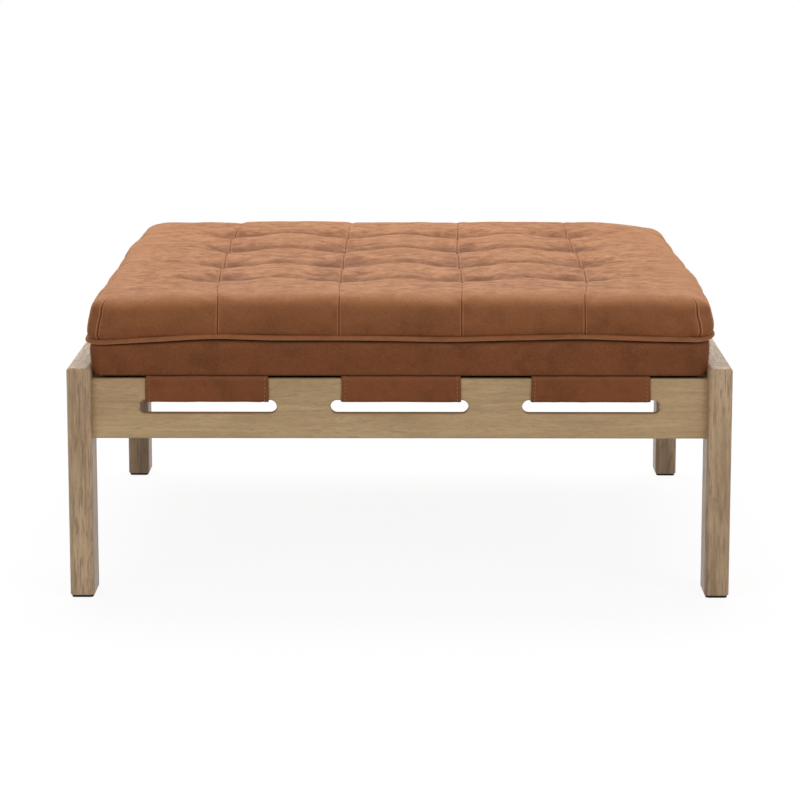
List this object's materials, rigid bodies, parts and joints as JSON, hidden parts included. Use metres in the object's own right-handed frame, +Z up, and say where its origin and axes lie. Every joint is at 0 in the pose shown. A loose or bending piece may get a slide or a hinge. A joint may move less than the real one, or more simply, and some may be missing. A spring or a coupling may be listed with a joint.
{
  "type": "ottoman coffee table",
  "caption": "Square tufted leather ottoman coffee table on a rounded oak frame, with leather straps through slots in the front and back rails.",
  "frame": {"origin": "on the floor, under the centre of the frame", "axes": "+Z up, the front with its slotted rail faces -Y, +X to the right seen from the front"},
  "size_m": [0.914, 0.914, 0.424],
  "materials": {
    "oak": "satin, grey-brown stain",
    "inner_wood": "sawn, unstained",
    "dowel_wood": "fluted beech",
    "plywood": "sanded ply",
    "top_leather": "waxed cognac",
    "border_leather": "waxed cognac",
    "welt_leather": "waxed cognac",
    "strap_leather": "stitched saddle",
    "foam": "open-cell foam",
    "twine": "waxed twine",
    "dust_cloth": "non-woven black",
    "anchor_plastic": "matt",
    "pad_rubber": "matt black",
    "screw_steel": "zinc plated",
    "bolt_steel": "zinc plated"
  },
  "bodies": {
    "root": {"back_rail": "oak", "base_board": "plywood", "base_foam": "foam", "border_cover": "border_leather", "corner_block_back_left": "inner_wood", "corner_block_back_right": "inner_wood", "corner_block_front_left": "inner_wood", "corner_block_front_right": "inner_wood", "corner_block_screws": "screw_steel", "cross_rail_dowels": "dowel_wood", "cross_rail_left": "inner_wood", "cross_rail_right": "inner_wood", "cushion_bolts": "bolt_steel", "cushion_washers": "bolt_steel", "dust_cover": "dust_cloth", "foot_pad_back_left": "pad_rubber", "foot_pad_back_right": "pad_rubber", "foot_pad_front_left": "pad_rubber", "foot_pad_front_right": "pad_rubber", "front_rail": "oak", "leg_back_left": "oak", "leg_back_right": "oak", "leg_dowels": "dowel_wood", "leg_front_left": "oak", "leg_front_right": "oak", "side_rail_left": "oak", "side_rail_right": "oak", "strap_left": "strap_leather", "strap_middle": "strap_leather", "strap_right": "strap_leather", "strap_screws": "screw_steel", "tee_nuts": "bolt_steel", "top_cover": "top_leather", "top_foam": "foam", "tuft_anchors": "anchor_plastic", "tuft_ties": "twine", "welt": "welt_leather"}
  },
  "joints": []
}
